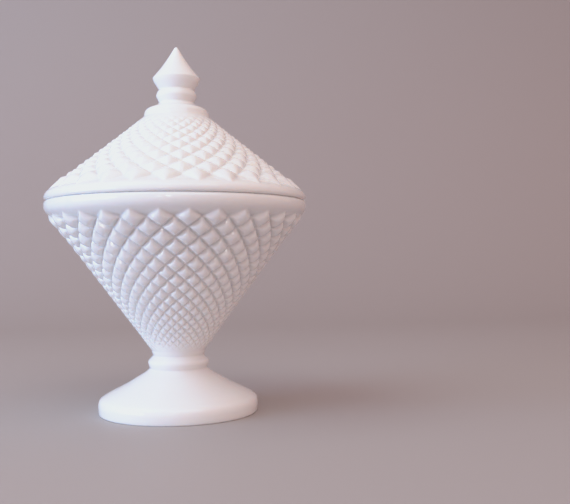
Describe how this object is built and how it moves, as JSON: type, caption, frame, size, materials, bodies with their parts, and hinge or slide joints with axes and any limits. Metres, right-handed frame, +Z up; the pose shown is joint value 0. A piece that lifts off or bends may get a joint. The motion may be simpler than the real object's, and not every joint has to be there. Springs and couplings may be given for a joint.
{
  "type": "lidded candy jar",
  "caption": "Footed jar with a conical bowl and a pointed conical lid that lifts off, pressed in opaque white glass with a diamond hob pattern.",
  "frame": {"origin": "on the jar's axis, in the plane of the foot's resting ring", "axes": "+Z up along the jar's axis, from the foot to the finial's tip; the jar is round, and -Y is the side shown to the front"},
  "size_m": [0.157, 0.157, 0.222],
  "materials": {
    "milk_glass": "opaque white pressed glass, fire-polished gloss"
  },
  "bodies": {
    "bowl": {"footed_bowl": "milk_glass"},
    "lid": {"lid": "milk_glass"}
  },
  "joints": [
    {"name": "lid_lift", "type": "slide", "parent": "bowl", "child": "lid", "axis": [0, 0, 1], "range_m": [0, 0.12]}
  ]
}
